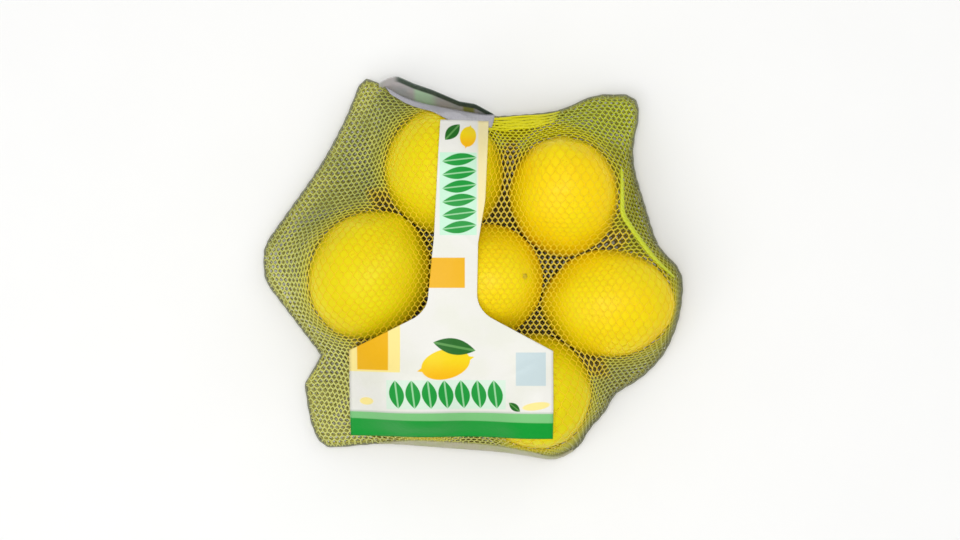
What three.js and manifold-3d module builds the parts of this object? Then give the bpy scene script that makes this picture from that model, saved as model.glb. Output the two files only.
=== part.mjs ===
// A net bag of lemons, lying on its back on a table.
//
// Seven lemons lie in one layer, six of them round the seventh. A net tube is stretched over and
// under them and welded shut at its top and bottom ends, so that empty ears of net stand out at
// the corners. A printed film label lies on the front: broad over the lower lemons, and a narrow
// strip from there to the top weld. A plain strip of film backs the bag. It lies on the table
// under the net, climbs the top end and stands past the weld as a free hem.
//
// Millimetres, +Z up. X runs across the label and Y along its strip, towards the top weld. The
// origin is on the table, under the middle of the bag.
import * as THREE from 'three';
import { mergeVertices } from 'three/addons/utils/BufferGeometryUtils.js';
import Module from 'manifold-3d';

const wasm = await Module();
wasm.setup();

// ---- Driving dimensions -------------------------------------------------------------------

const FILM = 0.8; // thickness of the back film and of the label
const GAP = 0.3; // clearance between the back film and the net
const LABEL_GAP = 1; // clearance between the net and the label on it
const STEEPEST = 1.7; // most that a slope may stretch the label's clearance and thickness
const BRIM = 1.2; // thickness of the two nets where they meet at the edge
const FLOOR = FILM + GAP; // height of the net's underside where it lies flat
const RINGS = 26; // rings of facets from the middle of the bag to its edge
const STEP = 4.54; // size of a facet of the label, in plan
const FINE = 3; // the net is drawn taut on a grid this many times finer
const REACH = 115.24; // half the side of that grid, so that rows of facets end at the label's ends
const ROUNDS = 220; // passes that draw it taut
const HASTE = 1.9; // how far past the mean of its neighbours each pass moves a point
const DRAW = 0.05; // how strongly the front net is drawn in between the fruit, in 1/mm

// Each lemon: the middle in plan, the radius of its waist, half its length, the direction of its
// nipple in plan and how far it points up, both in degrees.
const LEMONS = {
  top_left: { x: -15.4, y: 49.6, waist: 30.0, half: 33.0, turn: 110, tilt: -8 },
  top_right: { x: 46.8, y: 36.9, waist: 27.6, half: 33.6, turn: 98, tilt: 40 },
  left: { x: -54.5, y: -4.4, waist: 30.8, half: 34.5, turn: 60, tilt: 20 },
  middle: { x: 5.7, y: -7.6, waist: 29.0, half: 31.5, turn: 187, tilt: -51 },
  right: { x: 69.8, y: -19.2, waist: 27.6, half: 34.2, turn: 179, tilt: 4 },
  low_left: { x: -26.5, y: -59.5, waist: 28.0, half: 31.5, turn: 150, tilt: 34 },
  low_right: { x: 32.0, y: -64.4, waist: 28.2, half: 32.0, turn: -75, tilt: 38 },
};

// The net's edge as a polygon of corners, anticlockwise from the right: the corner in plan, the
// height of the edge there, and how far from the corner its rounding starts.
const EDGE = [
  { x: 96.0, y: 10.0, z: 13, round: 9 },
  { x: 81.3, y: 58.0, z: 15, round: 14 },
  { x: 87.0, y: 82.0, z: 12, round: 7 },
  { x: 84.0, y: 90.5, z: 10, round: 6 },
  { x: 62.5, y: 90.6, z: 10, round: 8 },
  { x: 46.0, y: 81.4, z: 16, round: 12 },
  { x: 25.0, y: 79.0, z: 22, round: 12 },
  { x: 6.0, y: 78.0, z: 24, round: 8 },
  { x: -24.0, y: 83.5, z: 24, round: 8 },
  { x: -38.0, y: 88.0, z: 21, round: 8 },
  { x: -50.0, y: 96.5, z: 16, round: 5 },
  { x: -58.8, y: 99.3, z: 14, round: 4 },
  { x: -67.0, y: 78.0, z: 15, round: 12 },
  { x: -80.0, y: 53.5, z: 14, round: 16 },
  { x: -111.0, y: 10.5, z: 10, round: 6 },
  { x: -110.4, y: -7.0, z: 10, round: 5 },
  { x: -78.5, y: -48.5, z: 12, round: 5 },
  { x: -89.8, y: -58.2, z: 8, round: 5 },
  { x: -86.0, y: -84.0, z: 7, round: 10 },
  { x: -79.5, y: -95.5, z: 8, round: 6 },
  { x: -47.0, y: -92.0, z: 13, round: 12 },
  { x: 19.0, y: -96.8, z: 16, round: 12 },
  { x: 43.0, y: -101.5, z: 11, round: 6 },
  { x: 55.5, y: -94.5, z: 10, round: 6 },
  { x: 59.5, y: -85.5, z: 10, round: 5 },
  { x: 69.0, y: -76.0, z: 10, round: 5 },
  { x: 73.0, y: -66.5, z: 11, round: 6 },
  { x: 87.0, y: -59.0, z: 12, round: 8 },
  { x: 100.0, y: -46.0, z: 13, round: 10 },
  { x: 107.5, y: -27.0, z: 15, round: 10 },
  { x: 109.6, y: -8.0, z: 15, round: 8 },
  { x: 107.0, y: 0.0, z: 14, round: 5 },
];

// Taut creases of the front net, each a line of corners. They run to the ears, and down the right
// side from the upper right lemon to the lower one.
const CREASES = [
  [
    { x: 77, y: 67, z: 27 },
    { x: 76, y: 46, z: 39 },
    { x: 76, y: 27, z: 43 },
    { x: 84, y: 14, z: 38 },
    { x: 95, y: 1.5, z: 33 },
    { x: 102, y: -7, z: 30 },
  ],
  [
    { x: 48, y: 68, z: 42 },
    { x: 66, y: 79, z: 25.5 },
    { x: 80, y: 86.5, z: 14 },
  ],
  [
    { x: -80, y: 12, z: 47 },
    { x: -105, y: 0, z: 15 },
  ],
  [
    { x: -36, y: 68, z: 42 },
    { x: -56.5, y: 94.5, z: 18 },
  ],
  [
    { x: -54, y: -64, z: 43 },
    { x: -79, y: -87, z: 12 },
  ],
];

// The label in plan: the broad part's sides and lower edge, the shoulders that rise to the
// strip, and the strip, which leans to the right on its way up.
const LABEL = {
  left: -64.6,
  right: 40.2,
  bottom: -88,
  shoulder: -43,
  neck: -22.5,
  strip: 24.8,
  stripFoot: -11,
  stripHead: -5,
  top: 75.44,
  fillet: 9,
};

// The back film in plan, where it leaves the table, and the line and heights at which it ends.
const BACK = {
  left: -46.5,
  right: 10.0,
  bottom: -87.0,
  lift: { left: 52, right: 44 },
  end: { left: 102.8, right: 82.0 },
  rise: { left: 20, right: 24.5 },
  bend: 2.2,
  sections: 16,
};

const CORNER_STEPS = 6; // points on each rounded corner

// ---- The taut net -------------------------------------------------------------------------

const SIDE = FINE * Math.round((2 * REACH) / STEP); // grid steps on a side
const CELL = STEP / FINE;
const nodeAt = (i, j) => j * (SIDE + 1) + i;
const placeOf = (i) => i * CELL - REACH;

// Heights of a lemon's skin over a point of the table, [lower, upper], or null past its outline.
function skin({ x, y, waist, half, turn, tilt }, px, py) {
  const [across, up] = [turn, tilt].map(THREE.MathUtils.degToRad);
  const axis = new THREE.Vector3(
    Math.cos(up) * Math.cos(across),
    Math.cos(up) * Math.sin(across),
    Math.sin(up),
  );
  const middle = FLOOR + BRIM / 2 + Math.hypot(waist * Math.cos(up), half * Math.sin(up));
  const thin = 1 / waist ** 2;
  const slim = thin - 1 / half ** 2;
  const along = axis.x * (px - x) + axis.y * (py - y);
  const a = thin - slim * axis.z ** 2;
  const b = slim * along * axis.z;
  const c = ((px - x) ** 2 + (py - y) ** 2) * thin - slim * along ** 2 - 1;
  const inside = b * b - a * c;
  if (inside <= 0) return null;
  return [middle + (b - Math.sqrt(inside)) / a, middle + (b + Math.sqrt(inside)) / a];
}

// The edge as closely spaced points, with every corner rounded off by a quadratic arc.
function edgePoints() {
  const corners = EDGE.map(({ x, y, z }) => new THREE.Vector3(x, y, z));
  const points = [];
  corners.forEach((corner, k) => {
    const towards = (other) => {
      const way = other.clone().sub(corner);
      return corner.clone().addScaledVector(way, Math.min(0.45, EDGE[k].round / way.length()));
    };
    const before = towards(corners.at(k - 1));
    const after = towards(corners[(k + 1) % corners.length]);
    const arc = new THREE.QuadraticBezierCurve3(before, corner, after);
    points.push(...arc.getPoints(CORNER_STEPS));
  });
  return points;
}

const edge = edgePoints();
const edgeAngles = edge.map((p) => Math.atan2(p.y, p.x));

// Share of the way out to the edge, and the edge's height, in the direction of a point.
function outTo(px, py) {
  const angle = Math.atan2(py, px);
  for (let k = 0; k < edge.length; k++) {
    const next = (k + 1) % edge.length;
    const turn = THREE.MathUtils.euclideanModulo(edgeAngles[next] - edgeAngles[k], 2 * Math.PI);
    const part = THREE.MathUtils.euclideanModulo(angle - edgeAngles[k], 2 * Math.PI);
    if (part > turn) continue;
    const [p, q] = [edge[k], edge[next]];
    const cross = (q.x - p.x) * Math.sin(angle) - (q.y - p.y) * Math.cos(angle);
    const radius = ((q.x - p.x) * p.y - (q.y - p.y) * p.x) / cross;
    return [Math.hypot(px, py) / radius, THREE.MathUtils.lerp(p.z, q.z, part / turn)];
  }
  return [0, edge[0].z];
}

// Height of the creases within half a facet of a point, or -Infinity where there is none.
function creaseOver(px, py) {
  let height = -Infinity;
  const point = new THREE.Vector3(px, py, 0);
  for (const crease of CREASES) {
    for (let k = 1; k < crease.length; k++) {
      const [from, to] = [crease[k - 1], crease[k]];
      const line = new THREE.Line3(
        new THREE.Vector3(from.x, from.y, 0),
        new THREE.Vector3(to.x, to.y, 0),
      );
      const way = line.closestPointToPointParameter(point, true);
      if (line.at(way, new THREE.Vector3()).distanceTo(point) > CELL) continue;
      height = Math.max(height, THREE.MathUtils.lerp(from.z, to.z, way));
    }
  }
  return height;
}

// Draws a net taut between the edge and the lemons. sign is 1 for the front, where it lies on the
// lemons, and -1 for the back, where it lies under them and on the film. draw is how strongly it
// is drawn in between them.
function drawTaut(sign, draw) {
  const height = new Float64Array((SIDE + 1) ** 2);
  const stop = new Float64Array(height.length).fill(-Infinity);
  const free = [];
  for (let j = 0; j <= SIDE; j++) {
    for (let i = 0; i <= SIDE; i++) {
      const [px, py] = [placeOf(i), placeOf(j)];
      const [share, edgeHeight] = outTo(px, py);
      const node = nodeAt(i, j);
      height[node] = sign * edgeHeight;
      if (share >= 1 || i * j === 0 || i === SIDE || j === SIDE) continue;
      free.push(node);
      if (sign > 0) stop[node] = creaseOver(px, py);
      for (const lemon of Object.values(LEMONS)) {
        const heights = skin(lemon, px, py);
        if (heights) stop[node] = Math.max(stop[node], sign * heights[sign > 0 ? 1 : 0]);
      }
    }
  }
  for (let round = 0; round < ROUNDS; round++) {
    for (const node of free) {
      const mean =
        (height[node - 1] + height[node + 1] + height[node - SIDE - 1] + height[node + SIDE + 1]) / 4;
      const drawn = mean - (draw * CELL ** 2) / 4;
      height[node] = Math.max(height[node] + HASTE * (drawn - height[node]), stop[node]);
    }
  }
  return height.map((z) => (sign > 0 ? z + BRIM / 2 : Math.max(FLOOR, -z - BRIM / 2)));
}

const front = drawTaut(1, DRAW);
const back = drawTaut(-1, 0);
const cover = drawTaut(1, 0); // the label bridges the dips that the net is drawn into

// Height of a drawn net at a node, raised by an offset that is measured square to its surface.
// On the steepest slopes the raise stops growing, so that the sheet has no spikes there.
function raised(net, offset) {
  return (i, j) => {
    const slopeX = (net[nodeAt(i + 1, j)] - net[nodeAt(i - 1, j)]) / (2 * CELL);
    const slopeY = (net[nodeAt(i, j + 1)] - net[nodeAt(i, j - 1)]) / (2 * CELL);
    return net[nodeAt(i, j)] + offset * Math.min(STEEPEST, Math.hypot(1, slopeX, slopeY));
  };
}

// ---- Solids -------------------------------------------------------------------------------

function toSolid(geometry) {
  geometry.deleteAttribute('normal');
  geometry.deleteAttribute('uv');
  const merged = mergeVertices(geometry);
  return new wasm.Manifold(
    new wasm.Mesh({
      numProp: 3,
      vertProperties: merged.attributes.position.array,
      triVerts: new Uint32Array(merged.index.array),
    }),
  );
}

function toGeometry(solid) {
  const mesh = solid.getMesh();
  const geometry = new THREE.BufferGeometry();
  geometry.setAttribute('position', new THREE.BufferAttribute(mesh.vertProperties, 3));
  geometry.setIndex(new THREE.BufferAttribute(mesh.triVerts, 1));
  geometry.computeVertexNormals();
  return geometry;
}

// The block between two surfaces over the whole grid, each a function of a node's indices.
function block(low, high) {
  const first = FINE;
  const count = SIDE / FINE - 2;
  const positions = [];
  for (const surface of [low, high]) {
    for (let j = 0; j <= count; j++) {
      for (let i = 0; i <= count; i++) {
        const [gi, gj] = [first + i * FINE, first + j * FINE];
        positions.push(placeOf(gi), placeOf(gj), surface(gi, gj));
      }
    }
  }
  const at = (layer, i, j) => (layer * (count + 1) + j) * (count + 1) + i;
  const faces = [];
  const quad = (a, b, c, d) => faces.push(a, b, c, a, c, d);
  for (let j = 0; j < count; j++) {
    for (let i = 0; i < count; i++) {
      quad(at(0, i, j), at(0, i, j + 1), at(0, i + 1, j + 1), at(0, i + 1, j));
      quad(at(1, i, j), at(1, i + 1, j), at(1, i + 1, j + 1), at(1, i, j + 1));
    }
    quad(at(0, j, 0), at(0, j + 1, 0), at(1, j + 1, 0), at(1, j, 0));
    quad(at(0, j + 1, count), at(0, j, count), at(1, j, count), at(1, j + 1, count));
    quad(at(0, 0, j + 1), at(0, 0, j), at(1, 0, j), at(1, 0, j + 1));
    quad(at(0, count, j), at(0, count, j + 1), at(1, count, j + 1), at(1, count, j));
  }
  const geometry = new THREE.BufferGeometry();
  geometry.setAttribute('position', new THREE.Float32BufferAttribute(positions, 3));
  geometry.setIndex(faces);
  return toSolid(geometry);
}

// The part of a block that stands over an outline in plan.
function cutOut(solid, outline) {
  const prism = new THREE.ExtrudeGeometry(new THREE.Shape(outline), {
    depth: REACH,
    bevelEnabled: false,
  });
  prism.translate(0, 0, -REACH / 4);
  return solid.intersect(toSolid(prism));
}

function part(name, geometry, looks) {
  const mesh = new THREE.Mesh(geometry, new THREE.MeshStandardMaterial({ metalness: 0, ...looks }));
  mesh.name = name;
  return mesh;
}

// Height of a drawn net over any point inside its edge.
function heightOver(net, px, py) {
  const [u, v] = [(px + REACH) / CELL, (py + REACH) / CELL];
  const [i, j] = [Math.floor(u), Math.floor(v)];
  const near = THREE.MathUtils.lerp(net[nodeAt(i, j)], net[nodeAt(i + 1, j)], u - i);
  const far = THREE.MathUtils.lerp(net[nodeAt(i, j + 1)], net[nodeAt(i + 1, j + 1)], u - i);
  return THREE.MathUtils.lerp(near, far, v - j);
}

// The net with the lemons in it, out to the bulges that they press into it. Front and back are
// discs of rings, each ring with six points more than the one inside it.
function netBag() {
  const ringStart = (ring) => (ring === 0 ? 0 : 1 + 3 * ring * (ring - 1));
  const plan = [];
  for (let ring = 0; ring <= RINGS; ring++) {
    for (let k = 0; k < Math.max(1, 6 * ring); k++) {
      const angle = (2 * Math.PI * k) / Math.max(1, 6 * ring);
      const [share] = outTo(Math.cos(angle), Math.sin(angle));
      const radius = ring / RINGS / share;
      plan.push([radius * Math.cos(angle), radius * Math.sin(angle), ring === RINGS]);
    }
  }
  const positions = [];
  for (const side of [1, -1]) {
    for (const [x, y, onEdge] of plan) {
      const low = heightOver(back, x, y);
      const high = Math.max(heightOver(front, x, y), low + BRIM);
      const inside = side > 0 ? high : low;
      positions.push(x, y, onEdge ? outTo(x, y)[1] + (side * BRIM) / 2 : inside);
    }
  }
  const under = plan.length;
  const faces = [];
  const triangle = (a, b, c) => {
    faces.push(a, b, c);
    faces.push(a + under, c + under, b + under);
  };
  for (let ring = 1; ring <= RINGS; ring++) {
    const outer = (k) => ringStart(ring) + (k % (6 * ring));
    const inner = (k) => ringStart(ring - 1) + (ring === 1 ? 0 : k % (6 * (ring - 1)));
    for (let sixth = 0; sixth < 6; sixth++) {
      for (let k = 0; k < ring; k++) {
        const [o, n] = [sixth * ring + k, sixth * (ring - 1) + k];
        triangle(outer(o), outer(o + 1), inner(n));
        if (k < ring - 1) triangle(inner(n), outer(o + 1), inner(n + 1));
      }
    }
  }
  for (let k = 0; k < 6 * RINGS; k++) {
    const [a, b] = [ringStart(RINGS) + k, ringStart(RINGS) + ((k + 1) % (6 * RINGS))];
    faces.push(a, a + under, b + under, a, b + under, b);
  }
  const geometry = new THREE.BufferGeometry();
  geometry.setAttribute('position', new THREE.Float32BufferAttribute(positions, 3));
  geometry.setIndex(faces);
  geometry.computeVertexNormals();
  return part('net_bag', geometry, { color: 0xe6cf1c, roughness: 0.55 });
}

// The label's outline, anticlockwise from its lower left corner.
function labelOutline() {
  const { left, right, bottom, shoulder, neck, strip, stripFoot, stripHead, top, fillet } = LABEL;
  const shape = new THREE.Shape();
  shape.moveTo(left, bottom);
  shape.lineTo(right, bottom);
  shape.lineTo(right, shoulder);
  const footRight = stripFoot + strip / 2;
  const footLeft = stripFoot - strip / 2;
  const ease = fillet / 2;
  shape.lineTo(footRight + fillet, neck - ease);
  shape.quadraticCurveTo(footRight, neck, footRight, neck + fillet);
  shape.lineTo(stripHead + strip / 2, top);
  shape.lineTo(stripHead - strip / 2, top);
  shape.lineTo(footLeft, neck + fillet);
  shape.quadraticCurveTo(footLeft, neck, footLeft - fillet, neck - ease);
  shape.lineTo(left, shoulder);
  return shape.getPoints(CORNER_STEPS);
}

function frontLabel() {
  const sheet = block(raised(cover, LABEL_GAP), raised(cover, LABEL_GAP + FILM));
  const geometry = toGeometry(cutOut(sheet, labelOutline()));
  return part('front_label', geometry, { color: 0xf2f2ee, roughness: 0.35 });
}

// The back film: flat on the table, then up round the bag's top end. Every section is straight
// across, and the end is skewed, as the top weld is.
function backFilm() {
  const { left, right, bottom, lift, end, rise, bend, sections } = BACK;
  const profile = (side) => {
    const points = [new THREE.Vector2(bottom, 0)];
    for (let k = 0; k <= sections; k++) {
      const way = k / sections;
      const along = THREE.MathUtils.lerp(lift[side], end[side], way);
      points.push(new THREE.Vector2(along, rise[side] * way ** bend));
    }
    return points;
  };
  const sides = [profile('left'), profile('right')];
  const count = sections + 2;
  const positions = [];
  sides.forEach((points, side) => {
    points.forEach((point, k) => {
      const way = points[Math.min(k + 1, count - 1)].clone().sub(points[Math.max(k - 1, 0)]);
      const square = way.normalize().multiplyScalar(FILM);
      const x = side === 0 ? left : right;
      positions.push(x, point.x, point.y, x, point.x - square.y, point.y + square.x);
    });
  });
  const at = (side, layer, k) => 2 * (side * count + k) + layer;
  const faces = [];
  const quad = (a, b, c, d) => faces.push(a, b, c, a, c, d);
  for (let k = 0; k < count - 1; k++) {
    quad(at(0, 0, k), at(0, 0, k + 1), at(1, 0, k + 1), at(1, 0, k));
    quad(at(0, 1, k), at(1, 1, k), at(1, 1, k + 1), at(0, 1, k + 1));
    quad(at(0, 0, k), at(0, 1, k), at(0, 1, k + 1), at(0, 0, k + 1));
    quad(at(1, 0, k), at(1, 0, k + 1), at(1, 1, k + 1), at(1, 1, k));
  }
  quad(at(0, 0, 0), at(1, 0, 0), at(1, 1, 0), at(0, 1, 0));
  quad(at(0, 0, count - 1), at(0, 1, count - 1), at(1, 1, count - 1), at(1, 0, count - 1));
  const geometry = new THREE.BufferGeometry();
  geometry.setAttribute('position', new THREE.Float32BufferAttribute(positions, 3));
  geometry.setIndex(faces);
  geometry.computeVertexNormals();
  return part('back_film', geometry, { color: 0xe4e6e2, roughness: 0.4 });
}

const bag = new THREE.Group();
bag.name = 'net_of_lemons';
bag.add(netBag(), frontLabel(), backFilm());

export default bag;
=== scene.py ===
# %% [markdown]
# # A net bag of lemons
#
# Seven lemons lie in one layer in a knitted net. The net is drawn tight over and under them and
# is welded shut at its top and bottom ends. A printed film label lies on the front, and a strip
# of plain film runs behind the bag and stands past the top weld as a free hem.
#
# The frame holds the bag as three closed solids: `net_bag`, `front_label` and `back_film`. This
# lesson dresses them. It works in millimetres and turns them into metres where a mesh is made.

# %% Load the frame
import itertools
import math

import bpy
import numpy as np
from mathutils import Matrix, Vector, noise
from mathutils.bvhtree import BVHTree


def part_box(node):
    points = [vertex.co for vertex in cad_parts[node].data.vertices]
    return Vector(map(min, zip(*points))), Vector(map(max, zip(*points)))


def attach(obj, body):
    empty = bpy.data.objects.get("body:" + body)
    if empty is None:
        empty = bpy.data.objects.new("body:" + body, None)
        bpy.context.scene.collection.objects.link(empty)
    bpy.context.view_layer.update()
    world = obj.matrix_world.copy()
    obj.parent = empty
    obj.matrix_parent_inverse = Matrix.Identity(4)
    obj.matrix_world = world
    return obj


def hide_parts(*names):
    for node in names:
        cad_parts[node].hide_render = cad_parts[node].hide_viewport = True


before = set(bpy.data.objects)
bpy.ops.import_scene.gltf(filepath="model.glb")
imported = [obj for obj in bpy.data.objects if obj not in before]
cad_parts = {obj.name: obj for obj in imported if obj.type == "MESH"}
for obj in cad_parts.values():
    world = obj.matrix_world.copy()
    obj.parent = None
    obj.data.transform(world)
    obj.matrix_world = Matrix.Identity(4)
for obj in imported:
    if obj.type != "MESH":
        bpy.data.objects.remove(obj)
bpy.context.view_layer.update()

MM = 0.001
print("the solids:", sorted(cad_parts))

# %% [markdown]
# ## The view
#
# The bag is seen from straight above. A long lens a good way off keeps the tall fruit from
# leaning outwards, as a short lens close by would. The floor is plain and pale. One broad lamp
# hangs a little to the lower left, where it gives each lemon a soft bright side. A weaker one
# fills in from the other side, and one straight above lights the clefts between the fruit.
# Blender's usual view transform pales every strong yellow, so the scene asks for the plain
# Standard one.

# %% Camera, floor and lamps
VIEW_WIDTH = 499.2
LENS = 110.0
SENSOR = 36.0
VIEW_HEIGHT = 30.0
VIEW_MIDDLE = (2.9, -1.6)


def add_camera():
    data = bpy.data.cameras.new("camera")
    data.lens = LENS
    data.sensor_width = SENSOR
    camera = bpy.data.objects.new("camera", data)
    bpy.context.scene.collection.objects.link(camera)
    distance = VIEW_WIDTH * LENS / SENSOR + VIEW_HEIGHT
    camera.location = Vector((*VIEW_MIDDLE, distance)) * MM
    data.clip_end = 20.0
    bpy.context.scene.camera = camera
    bpy.context.scene.view_settings.view_transform = "Standard"
    print("camera", round(camera.location.z, 3), "m above the floor")


def add_lamp(name, place, size, power):
    data = bpy.data.lights.new(name, "AREA")
    data.shape = "DISK"
    data.size = size
    data.energy = power
    lamp = bpy.data.objects.new(name, data)
    bpy.context.scene.collection.objects.link(lamp)
    lamp.location = place
    lamp.rotation_euler = (-Vector(place)).to_track_quat("-Z", "Y").to_euler()


def add_sky(strength):
    world = bpy.data.worlds.new("sky")
    world.use_nodes = True
    world.node_tree.nodes["Background"].inputs["Color"].default_value = (1.0, 1.0, 1.0, 1.0)
    world.node_tree.nodes["Background"].inputs["Strength"].default_value = strength
    bpy.context.scene.world = world


add_camera()
add_lamp("main_lamp", (-0.7, -0.75, 1.5), 1.6, 9.0)
add_lamp("fill_lamp", (0.9, 0.8, 1.4), 1.6, 3.5)
add_lamp("top_lamp", (0.0, 0.0, 1.9), 0.6, 13.0)
add_sky(0.48)

# %% [markdown]
# ## Writing finishes as sums
#
# A pattern such as *here is the leaf, there is the stripe* is arithmetic on a point's place. A
# small class wraps a node's output, so that `+`, `-` and `*` lay the nodes. Every other node
# comes from one method that takes its kind, its settings and its inputs.

# %% Wires and finishes


class Wire:
    """One output of a node. Arithmetic on it adds Math nodes."""

    def __init__(self, finish, socket):
        self.finish = finish
        self.socket = socket

    def sum(self, operation, *values):
        return self.finish.node("ShaderNodeMath", {"operation": operation}, values)

    def __add__(self, other):
        return self.sum("ADD", self, other)

    def __sub__(self, other):
        return self.sum("SUBTRACT", self, other)

    def __rsub__(self, other):
        return self.sum("SUBTRACT", other, self)

    def __mul__(self, other):
        return self.sum("MULTIPLY", self, other)

    def size(self):
        return self.sum("ABSOLUTE", self)

    def wrapped(self, low, high):
        return self.sum("WRAP", self, high, low)

    __radd__ = __add__
    __rmul__ = __mul__


class Finish:
    """A material that is built up node by node."""

    def __init__(self, name, settings):
        """settings are the values that are the same all over the surface, by socket."""
        self.material = bpy.data.materials.new(name)
        self.material.use_nodes = True
        self.tree = self.material.node_tree
        self.surface = self.tree.nodes["Principled BSDF"]
        for socket, value in settings.items():
            self.surface.inputs[socket].default_value = value

    def node(self, kind, settings, inputs, out=0):
        """inputs are values or wires, in the order of the sockets or by socket."""
        node = self.tree.nodes.new(kind)
        for key, value in settings.items():
            setattr(node, key, value)
        for place, value in inputs.items() if isinstance(inputs, dict) else enumerate(inputs):
            if isinstance(value, Wire):
                self.tree.links.new(value.socket, node.inputs[place])
            else:
                node.inputs[place].default_value = value
        return Wire(self, node.outputs[out])

    def feed(self, name, wire):
        self.tree.links.new(wire.socket, self.surface.inputs[name])

    def place(self):
        """The point's place in the frame, in millimetres."""
        metres = self.node("ShaderNodeTexCoord", {}, (), out="Object")
        inputs = {0: metres, "Scale": 1 / MM}
        return self.node("ShaderNodeVectorMath", {"operation": "SCALE"}, inputs)

    def axes(self, vector):
        split = self.node("ShaderNodeSeparateXYZ", {}, (vector,))
        return [Wire(self, output) for output in split.socket.node.outputs]

    def mark(self, name):
        """A value that the mesh carries at each of its points."""
        return self.node("ShaderNodeAttribute", {"attribute_name": name}, (), out="Fac")

    def noise(self, vector, scale):
        inputs = {"Vector": vector, "Scale": scale, "Detail": 2.0}
        return self.node("ShaderNodeTexNoise", {"noise_dimensions": "3D"}, inputs, out="Fac")

    def ease(self, value, low, high):
        """0 at low, 1 at high, and a smooth step between. low may be above high."""
        inputs = {"Value": value, "From Min": low, "From Max": high}
        return self.node("ShaderNodeMapRange", {"interpolation_type": "SMOOTHSTEP"}, inputs)

    def patches(self, vector, scale):
        """Noise that is 0 in some patches and 1 in others, with soft edges."""
        return self.ease(self.noise(vector, scale), 0.35, 0.65)

    def mix(self, share, first, second):
        """Colour that goes from first to second as share goes from 0 to 1."""
        first, second = (c if isinstance(c, Wire) else (*c, 1.0) for c in (first, second))
        inputs = {0: share, 6: first, 7: second}
        return self.node("ShaderNodeMix", {"data_type": "RGBA"}, inputs, out=2)

    def bump(self, height, depth):
        """depth is how far the relief stands out, in millimetres, where height is 1."""
        inputs = {"Height": height, "Strength": 1.0, "Distance": depth * MM}
        self.feed("Normal", self.node("ShaderNodeBump", {}, inputs))


def floor_finish():
    finish = Finish("floor_paper", {"Roughness": 0.75})
    spots = finish.noise(finish.place(), 0.02)
    finish.feed("Base Color", finish.mix(spots, (0.90, 0.90, 0.89), (0.92, 0.92, 0.91)))
    return finish.material


def add_floor(half=3.0):
    corners = [(-half, -half, 0), (half, -half, 0), (half, half, 0), (-half, half, 0)]
    mesh = bpy.data.meshes.new("floor")
    mesh.from_pydata(corners, [], [(0, 1, 2, 3)])
    mesh.materials.append(floor_finish())
    floor = bpy.data.objects.new("floor", mesh)
    bpy.context.scene.collection.objects.link(floor)


add_floor()
print("the floor lies at 0, under the back film")

# %% [markdown]
# ## Reading the bag's shape from its solid
#
# The net lies on the surface of the `net_bag` solid. Rays that are dropped on it, and rays that
# are sent up from below, give its two heights over every point of the table. The underside of
# the label's solid is read in the same way. The solids have facets of about 4 mm, so the heights
# are smoothed a little. Pieces that are laid on them then have the solids' form without facets.

# %% The heights of the front and the back
GRID = 1.0
AROUND = 8.0
BLUR = 1.6
FAR = 1000.0
LAST_CELL = 1.001  # keeps the far corners of a point's cell on the grid


def height_over(tree, x, y, way):
    """The height of the first face that a ray meets, sent down (way -1) or up (way 1)."""
    start = Vector((x, y, -way * FAR)) * MM
    hit = tree.ray_cast(start, Vector((0, 0, way)))[0]
    return hit.z / MM if hit else math.nan


def blurred(values, width):
    """values smoothed along both axes over about width grid steps."""
    reach = int(3 * width)
    steps = np.arange(-reach, reach + 1)
    weights = np.exp(-0.5 * (steps / width) ** 2)
    weights /= weights.sum()
    for axis in (0, 1):
        padded = np.pad(values, [(reach, reach) if a == axis else (0, 0) for a in (0, 1)], "edge")
        parts = [
            weight * np.take(padded, np.arange(values.shape[axis]) + k, axis)
            for k, weight in enumerate(weights)
        ]
        values = sum(parts)
    return values


def spread_out(heights):
    """Fills the empty places of a grid with the heights of their nearest neighbours."""
    while np.isnan(heights).any():
        padded = np.pad(heights, 1, constant_values=np.nan)
        beside = [padded[1:-1, 2:], padded[1:-1, :-2]]
        around = np.stack([*beside, padded[2:, 1:-1], padded[:-2, 1:-1]])
        count = (~np.isnan(around)).sum(0)
        mean = np.nansum(around, 0) / np.maximum(count, 1)
        heights = np.where(np.isnan(heights) & (count > 0), mean, heights)
    return heights


class Surface:
    """Heights over the table, in millimetres, on a square grid."""

    def __init__(self, tree, box, way):
        self.low = [box[0][axis] / MM - AROUND for axis in (0, 1)]
        high = [box[1][axis] / MM + AROUND for axis in (0, 1)]
        xs = np.arange(self.low[0], high[0], GRID)
        ys = np.arange(self.low[1], high[1], GRID)
        heights = np.array([[height_over(tree, x, y, way) for x in xs] for y in ys])
        self.heights = blurred(spread_out(heights), BLUR / GRID)

    def at(self, x, y):
        rows, columns = self.heights.shape
        u = np.clip((np.asarray(x) - self.low[0]) / GRID, 0, columns - LAST_CELL)
        v = np.clip((np.asarray(y) - self.low[1]) / GRID, 0, rows - LAST_CELL)
        i = u.astype(int)
        j = v.astype(int)
        near = self.heights[j, i] * (1 - u + i) + self.heights[j, i + 1] * (u - i)
        far = self.heights[j + 1, i] * (1 - u + i) + self.heights[j + 1, i + 1] * (u - i)
        return near * (1 - v + j) + far * (v - j)

    def slopes(self, x, y):
        across = (self.at(x + GRID, y) - self.at(x - GRID, y)) / (2 * GRID)
        along = (self.at(x, y + GRID) - self.at(x, y - GRID)) / (2 * GRID)
        return across, along

    def normals(self, x, y):
        across, along = self.slopes(x, y)
        return unit(np.stack([-across, -along, np.ones_like(across)], -1))


def unit(vectors):
    return vectors / np.maximum(np.linalg.norm(vectors, axis=-1, keepdims=True), 1e-9)


def solid_tree(node):
    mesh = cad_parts[node].data
    corners = [vertex.co for vertex in mesh.vertices]
    return BVHTree.FromPolygons(corners, [tuple(face.vertices) for face in mesh.polygons])


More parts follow.
